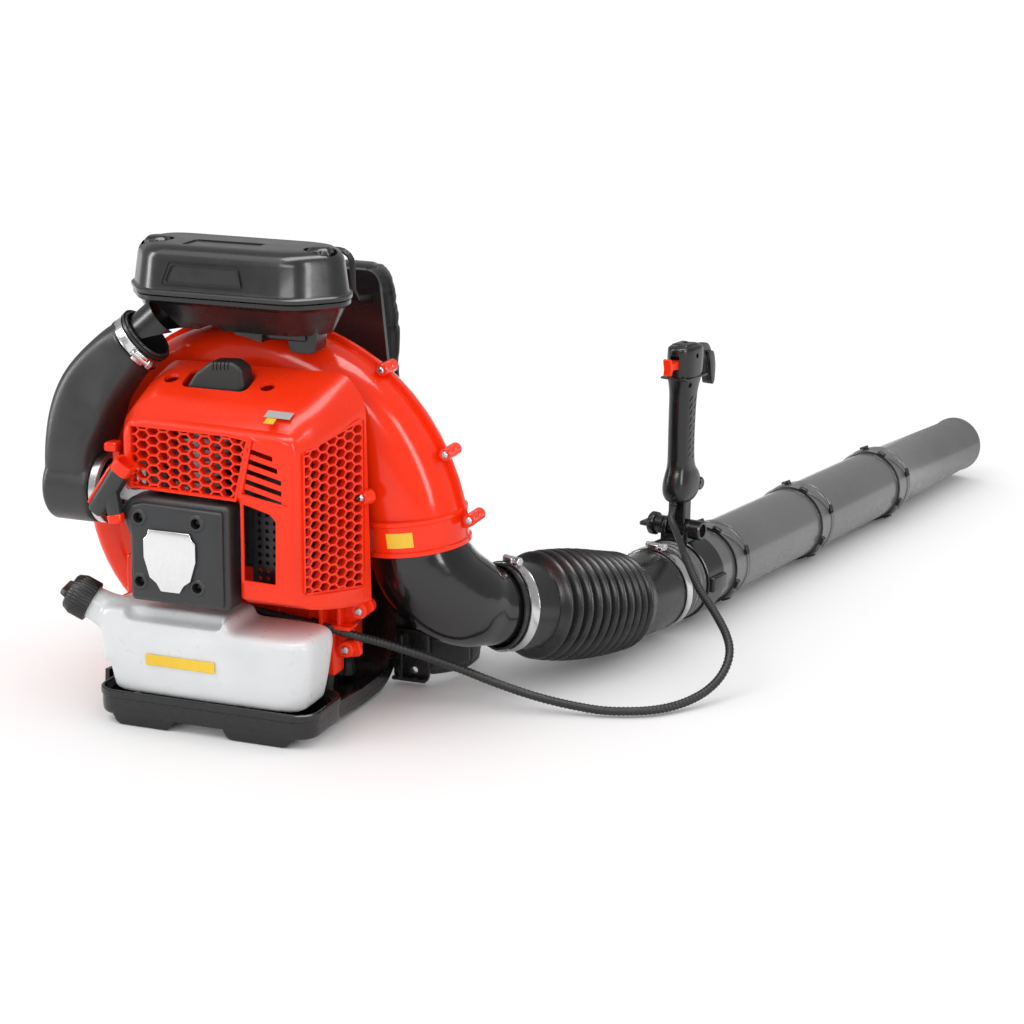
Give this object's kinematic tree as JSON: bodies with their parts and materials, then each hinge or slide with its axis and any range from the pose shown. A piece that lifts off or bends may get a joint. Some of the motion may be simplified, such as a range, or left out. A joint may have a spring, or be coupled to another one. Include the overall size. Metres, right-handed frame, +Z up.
{
  "type": "backpack leaf blower",
  "caption": "Petrol backpack leaf blower: harness frame, engine and fan housing, tank, air filter, bending hose, jointed blow tube and tilting control handle.",
  "frame": {"origin": "at the middle of the rear_foot mount, on the floor straight under the crank axis, at the middle of the fan housing's depth", "axes": "+Z up, +Y from the engine towards the wearer's back and along the blow tube, +X to the side the hose leaves from"},
  "size_m": [0.753, 1.37, 0.471],
  "materials": {
    "red_plastic": "glossy moulded",
    "black_plastic": "satin moulded",
    "tube_plastic": "satin moulded",
    "grey_plastic": "grained moulded",
    "tank_plastic": "translucent moulded",
    "rubber": "matt",
    "aluminium": "as cast",
    "steel": "bright plated",
    "dark_steel": "satin black",
    "fabric": "quilted woven",
    "white_plate": "bright plate",
    "paper": "pleated paper",
    "ceramic": "glazed"
  },
  "bodies": {
    "machine": {"frame": "black_plastic", "carry_handle": "dark_steel", "av_mount_front_left": "rubber", "av_mount_front_right": "rubber", "av_mount_rear_left": "rubber", "av_mount_rear_right": "rubber", "fan_housing_front": "red_plastic", "fan_housing_rear": "red_plastic", "crankcase": "aluminium", "cylinder": "aluminium", "piston": "aluminium", "connecting_rod": "steel", "spark_plug": "ceramic", "plug_cap": "rubber", "ignition_coil": "rubber", "muffler": "dark_steel", "carburettor": "aluminium", "intake_duct": "black_plastic", "duct_ring": "steel", "duct_clamp": "steel", "starter_housing": "grey_plastic", "starter_badge": "white_plate", "engine_cover": "red_plastic", "fuel_tank": "tank_plastic", "fuel_line": "rubber", "filter_case": "black_plastic", "filter_element": "paper", "back_pad": "fabric", "shoulder_strap_left": "fabric", "shoulder_strap_right": "fabric", "hip_belt_left": "fabric", "hip_belt_right": "fabric", "outlet_elbow": "black_plastic", "elbow_clamp": "steel", "throttle_cable": "rubber", "cable_clip": "black_plastic"},
    "rotor": {"crankshaft": "steel", "flywheel": "aluminium", "impeller": "black_plastic"},
    "pulley": {"starter_pulley": "black_plastic"},
    "grip": {"starter_grip": "grey_plastic", "starter_rope": "rubber"},
    "filter_lid": {"filter_cover": "black_plastic"},
    "knob_left": {"cover_knob_left": "black_plastic"},
    "knob_right": {"cover_knob_right": "black_plastic"},
    "cap": {"fuel_cap": "black_plastic"},
    "choke": {"choke_lever": "red_plastic"},
    "hose": {"flex_hose": "rubber"},
    "hose_end": {"hose_clamp": "steel"},
    "tube": {"swivel_tube": "tube_plastic", "handle_bracket": "black_plastic"},
    "pipe_near": {"pipe_1": "tube_plastic"},
    "pipe_far": {"pipe_2": "tube_plastic"},
    "tip": {"nozzle": "tube_plastic"},
    "handle": {"handle_shell_left": "black_plastic", "handle_shell_right": "black_plastic"},
    "tilt_knob": {"clamp_knob": "black_plastic"},
    "trigger": {"throttle_trigger": "black_plastic"},
    "cruise": {"cruise_lever": "black_plastic"},
    "stop": {"stop_switch": "red_plastic"}
  },
  "joints": [
    {"name": "crank_spin", "type": "hinge", "parent": "machine", "child": "rotor", "pos_m": [0, 0, 0.184], "axis": [0, 1, 0], "continuous": true},
    {"name": "starter_pull", "type": "slide", "parent": "machine", "child": "grip", "axis": [-0.6007, -0.3004, 0.7409], "range_m": [0, 0.6], "deforming": ["starter_rope"]},
    {"name": "pulley_spin", "type": "hinge", "parent": "machine", "child": "pulley", "pos_m": [0, -0.15, 0.184], "axis": [0, 1, 0], "range_deg": [-1200, 0]},
    {"name": "cover_lift", "type": "slide", "parent": "machine", "child": "filter_lid", "axis": [0, 0, 1], "range_m": [0, 0.06]},
    {"name": "knob_left_turn", "type": "hinge", "parent": "filter_lid", "child": "knob_left", "pos_m": [-0.068, -0.05, 0.46], "axis": [0, 0, 1], "range_deg": [0, 1080]},
    {"name": "knob_right_turn", "type": "hinge", "parent": "filter_lid", "child": "knob_right", "pos_m": [0.108, -0.05, 0.46], "axis": [0, 0, 1], "range_deg": [0, 1080]},
    {"name": "fuel_cap_turn", "type": "hinge", "parent": "machine", "child": "cap", "pos_m": [-0.11, -0.145, 0.12], "axis": [-0.8575, -0.2144, 0.4677], "range_deg": [0, 540]},
    {"name": "choke_swing", "type": "hinge", "parent": "machine", "child": "choke", "pos_m": [-0.084, -0.1145, 0.252], "axis": [0, 1, 0], "range_deg": [0, 35]},
    {"name": "hose_yaw", "type": "hinge", "parent": "machine", "child": "hose", "pos_m": [0.248, 0.064, 0.092], "axis": [0, 0, 1], "range_deg": [-25, 25], "deforming": ["flex_hose", "throttle_cable"]},
    {"name": "hose_pitch", "type": "hinge", "parent": "hose", "child": "hose_end", "pos_m": [0.296, 0.17, 0.072], "axis": [0.8662, -0.4997, 0], "range_deg": [-25, 25], "deforming": ["flex_hose", "throttle_cable"]},
    {"name": "tube_swivel", "type": "hinge", "parent": "hose_end", "child": "tube", "pos_m": [0.342, 0.32, 0.051], "axis": [0.2113, 0.9774, -0.0073], "range_deg": [-60, 60], "deforming": ["throttle_cable"]},
    {"name": "bayonet_1", "type": "hinge", "parent": "tube", "child": "pipe_near", "pos_m": [0.37306, 0.46368, 0.04993], "axis": [0.2113, 0.9774, -0.0073], "range_deg": [0, 20]},
    {"name": "bayonet_2", "type": "hinge", "parent": "pipe_near", "child": "pipe_far", "pos_m": [0.42166, 0.68848, 0.04825], "axis": [0.2113, 0.9774, -0.0073], "range_deg": [0, 20]},
    {"name": "bayonet_3", "type": "hinge", "parent": "pipe_far", "child": "tip", "pos_m": [0.47153, 0.91914, 0.04652], "axis": [0.2113, 0.9774, -0.0073], "range_deg": [0, 20]},
    {"name": "handle_tilt", "type": "hinge", "parent": "tube", "child": "handle", "pos_m": [0.35392, 0.37515, 0.10909], "axis": [0.9774, -0.2113, 0], "range_deg": [-35, 35], "deforming": ["throttle_cable"]},
    {"name": "tilt_knob_turn", "type": "hinge", "parent": "tube", "child": "tilt_knob", "pos_m": [0.35392, 0.37515, 0.10909], "axis": [0.9774, -0.2113, 0], "range_deg": [0, 720]},
    {"name": "throttle_pull", "type": "hinge", "parent": "handle", "child": "trigger", "pos_m": [0.35667, 0.38786, 0.29309], "axis": [0.9774, -0.2113, 0], "range_deg": [0, 18]},
    {"name": "cruise_set", "type": "hinge", "parent": "handle", "child": "cruise", "pos_m": [0.35519, 0.38102, 0.31609], "axis": [0.9774, -0.2113, 0], "range_deg": [-30, 0]},
    {"name": "stop_press", "type": "hinge", "parent": "handle", "child": "stop", "pos_m": [0.34991, 0.35658, 0.30209], "axis": [0.9774, -0.2113, 0], "range_deg": [0, 20]}
  ],
  "couplings": [
    {"joint": "pulley_spin", "follows": "starter_pull", "rad_per_m": -33.333}
  ]
}
